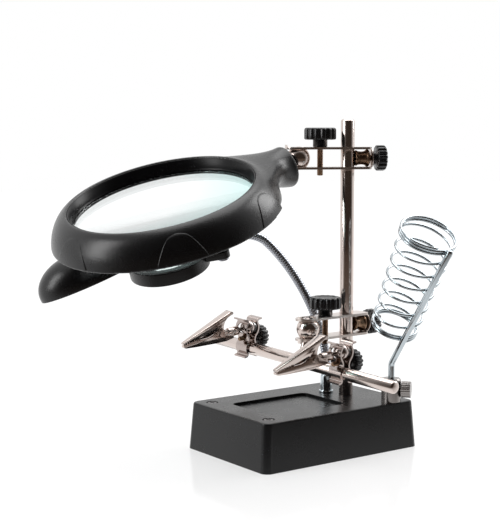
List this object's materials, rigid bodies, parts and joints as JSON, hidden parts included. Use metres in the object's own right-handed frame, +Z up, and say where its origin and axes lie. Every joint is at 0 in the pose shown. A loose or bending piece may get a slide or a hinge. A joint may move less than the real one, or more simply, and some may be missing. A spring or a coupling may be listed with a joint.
{
  "type": "helping hands clamp",
  "caption": "Bench stand with a weighted base and post, a ball-jointed magnifier, two sprung clips on a cross rod, a gooseneck lamp and a coil rest for an iron.",
  "frame": {"origin": "centre of the base's underside, on the surface it stands on", "axes": "+X along the base's length toward the post's end, +Y across the base toward the side with the switch, +Z up"},
  "size_m": [0.2243, 0.1966, 0.21],
  "materials": {
    "moulded_black": "fine satin texture",
    "gloss_black": "glossy",
    "knob_black": "semi-gloss moulded",
    "foot_rubber": "matt",
    "cast_weight": "as cast",
    "cell_wrap": "printed sleeve, plain",
    "contact_brass": "sheet",
    "bright_chrome": "polished",
    "hose_steel": "spiral wound, satin",
    "warm_nickel": "nickel plated, polished",
    "lens_glass": "clear, polished",
    "lamp_cover": "clear, frosted",
    "board_white": "solder mask"
  },
  "bodies": {
    "root": {"base_shell": "moulded_black", "base_cover": "moulded_black", "base_feet": "foot_rubber", "case_screws": "hose_steel", "ballast": "cast_weight", "battery_door": "moulded_black", "batteries": "cell_wrap", "battery_contacts": "contact_brass", "hose_ferrule": "bright_chrome", "gooseneck_hose": "hose_steel", "lamp_shade": "moulded_black", "lamp_window": "lamp_cover", "led_board": "board_white", "stand_socket": "warm_nickel"},
    "switch": {"rocker_switch": "gloss_black"},
    "post": {"post": "warm_nickel"},
    "upper_clamp": {"upper_top_plate": "warm_nickel", "upper_bottom_plate": "warm_nickel", "upper_post_block": "bright_chrome", "upper_post_washer": "bright_chrome"},
    "upper_post_screw": {"upper_post_knob": "knob_black"},
    "upper_squeeze": {"upper_squeeze_knob": "knob_black"},
    "upper_ball": {"upper_ball": "warm_nickel"},
    "magnifier": {"head_housing": "moulded_black", "head_bezel": "gloss_black", "head_bottom_ring": "moulded_black", "head_stud": "warm_nickel", "main_lens": "lens_glass", "aux_pin": "hose_steel"},
    "aux_lens_arm": {"aux_ring": "moulded_black", "aux_lens": "lens_glass"},
    "lower_clamp": {"lower_top_plate": "warm_nickel", "lower_bottom_plate": "warm_nickel", "lower_post_block": "bright_chrome", "lower_post_washer": "bright_chrome"},
    "lower_post_screw": {"lower_post_knob": "knob_black"},
    "lower_squeeze": {"lower_squeeze_knob": "knob_black"},
    "lower_ball": {"lower_ball": "warm_nickel"},
    "rod": {"rod_stem": "warm_nickel", "cross_rod": "warm_nickel"},
    "iron_rest": {"stand_rod": "bright_chrome", "stand_coil": "bright_chrome"},
    "iron_rest_screw": {"stand_screw": "warm_nickel"},
    "left_grip": {"left_clamp_front_plate": "warm_nickel", "left_clamp_back_plate": "warm_nickel"},
    "left_grip_screw": {"left_clamp_knob": "knob_black"},
    "left_ball": {"left_clip_ball": "warm_nickel"},
    "left_clip": {"left_clip_stem": "warm_nickel", "left_lower_jaw": "warm_nickel", "left_clip_pivot": "warm_nickel"},
    "left_jaw": {"left_upper_jaw": "warm_nickel"},
    "right_grip": {"right_clamp_front_plate": "warm_nickel", "right_clamp_back_plate": "warm_nickel"},
    "right_grip_screw": {"right_clamp_knob": "knob_black"},
    "right_ball": {"right_clip_ball": "warm_nickel"},
    "right_clip": {"right_clip_stem": "warm_nickel", "right_lower_jaw": "warm_nickel", "right_clip_pivot": "warm_nickel"},
    "right_jaw": {"right_upper_jaw": "warm_nickel"}
  },
  "joints": [
    {"name": "arm_swivel", "type": "hinge", "parent": "root", "child": "post", "pos_m": [0.036, 0, 0.03], "axis": [0, 0, 1], "range_deg": [0, 35]},
    {"name": "upper_clamp_height", "type": "slide", "parent": "post", "child": "upper_clamp", "axis": [0, 0, 1], "range_m": [0, 0.014]},
    {"name": "upper_post_knob_turn", "type": "hinge", "parent": "upper_clamp", "child": "upper_post_screw", "pos_m": [0.05398, -0.00877, 0.185], "axis": [0.8988, -0.4384, 0], "continuous": true},
    {"name": "upper_squeeze_knob_turn", "type": "hinge", "parent": "upper_clamp", "child": "upper_squeeze", "pos_m": [0.01964, 0.00798, 0.195], "axis": [0, 0, 1], "continuous": true},
    {"name": "magnifier_yaw", "type": "hinge", "parent": "upper_clamp", "child": "upper_ball", "pos_m": [0.00679, 0.01425, 0.185], "axis": [0, 0, 1], "range_deg": [0, 30]},
    {"name": "magnifier_tilt", "type": "hinge", "parent": "upper_ball", "child": "magnifier", "pos_m": [0.00679, 0.01425, 0.185], "axis": [0.0223, 0.9894, 0.1433], "range_deg": [0, 34]},
    {"name": "aux_lens_swing", "type": "hinge", "parent": "magnifier", "child": "aux_lens_arm", "pos_m": [-0.08909, -0.03858, 0.13201], "axis": [-0.3269, -0.1282, 0.9363], "range_deg": [0, 120]},
    {"name": "lower_clamp_height", "type": "slide", "parent": "root", "child": "lower_clamp", "axis": [0, 0, 1], "range_m": [-0.006, 0.035]},
    {"name": "lower_post_knob_turn", "type": "hinge", "parent": "lower_clamp", "child": "lower_post_screw", "pos_m": [0.05599, 0.00052, 0.0765], "axis": [0.9997, 0.0262, 0], "continuous": true},
    {"name": "lower_squeeze_knob_turn", "type": "hinge", "parent": "lower_clamp", "child": "lower_squeeze", "pos_m": [0.01781, -0.00048, 0.0865], "axis": [0, 0, 1], "continuous": true},
    {"name": "rod_yaw", "type": "hinge", "parent": "lower_clamp", "child": "lower_ball", "pos_m": [0.00351, -0.00085, 0.0765], "axis": [0, 0, 1], "range_deg": [-18, 18]},
    {"name": "rod_lean", "type": "hinge", "parent": "lower_ball", "child": "rod", "pos_m": [0.00351, -0.00085, 0.0765], "axis": [-0.1562, 0.9846, 0.078], "range_deg": [-16, 4]},
    {"name": "left_grip_slide", "type": "slide", "parent": "rod", "child": "left_grip", "axis": [-0.1562, 0.9846, 0.078], "range_m": [-0.01, 0.018]},
    {"name": "left_grip_knob_turn", "type": "hinge", "parent": "left_grip", "child": "left_grip_screw", "pos_m": [-0.00151, 0.0495, 0.0655], "axis": [0.9876, 0.1568, -0.0007], "continuous": true},
    {"name": "left_clip_yaw", "type": "hinge", "parent": "left_grip", "child": "left_ball", "pos_m": [-0.00932, 0.0477, 0.07249], "axis": [0.0129, -0.0769, 0.997], "range_deg": [-5, 20]},
    {"name": "left_clip_tilt", "type": "hinge", "parent": "left_ball", "child": "left_clip", "pos_m": [-0.00932, 0.0477, 0.07249], "axis": [0.0194, 0.9969, 0.0766], "range_deg": [-4, 20]},
    {"name": "left_jaw_open", "type": "hinge", "parent": "left_clip", "child": "left_jaw", "pos_m": [-0.0323, 0.04828, 0.07081], "axis": [0.0194, 0.9969, 0.0766], "range_deg": [0, 20], "stiffness_Nm_per_rad": 0.04, "springref_deg": -22.92},
    {"name": "right_grip_slide", "type": "slide", "parent": "rod", "child": "right_grip", "axis": [-0.1562, 0.9846, 0.078], "range_m": [-0.028, 0.01]},
    {"name": "right_grip_knob_turn", "type": "hinge", "parent": "right_grip", "child": "right_grip_screw", "pos_m": [0.01138, -0.03174, 0.05907], "axis": [0.9876, 0.1568, -0.0007], "continuous": true},
    {"name": "right_clip_yaw", "type": "hinge", "parent": "right_grip", "child": "right_ball", "pos_m": [0.00357, -0.03353, 0.06606], "axis": [0.0129, -0.0769, 0.997], "range_deg": [-5, 20]},
    {"name": "right_clip_tilt", "type": "hinge", "parent": "right_ball", "child": "right_clip", "pos_m": [0.00357, -0.03353, 0.06606], "axis": [0.0194, 0.9969, 0.0766], "range_deg": [-4, 20]},
    {"name": "right_jaw_open", "type": "hinge", "parent": "right_clip", "child": "right_jaw", "pos_m": [-0.01942, -0.03295, 0.06438], "axis": [0.0194, 0.9969, 0.0766], "range_deg": [0, 20], "stiffness_Nm_per_rad": 0.04, "springref_deg": -22.92},
    {"name": "iron_rest_turn", "type": "hinge", "parent": "root", "child": "iron_rest", "pos_m": [0.0451, -0.0342, 0.04], "axis": [0, 0, 1], "range_deg": [0, 18]},
    {"name": "iron_rest_screw_turn", "type": "hinge", "parent": "root", "child": "iron_rest_screw", "pos_m": [0.05024, -0.04033, 0.038], "axis": [0.6428, -0.766, 0], "continuous": true},
    {"name": "switch_rock", "type": "hinge", "parent": "root", "child": "switch", "pos_m": [-0.02, 0.03985, 0.015], "axis": [0, 0, 1], "range_deg": [0, 8]}
  ]
}
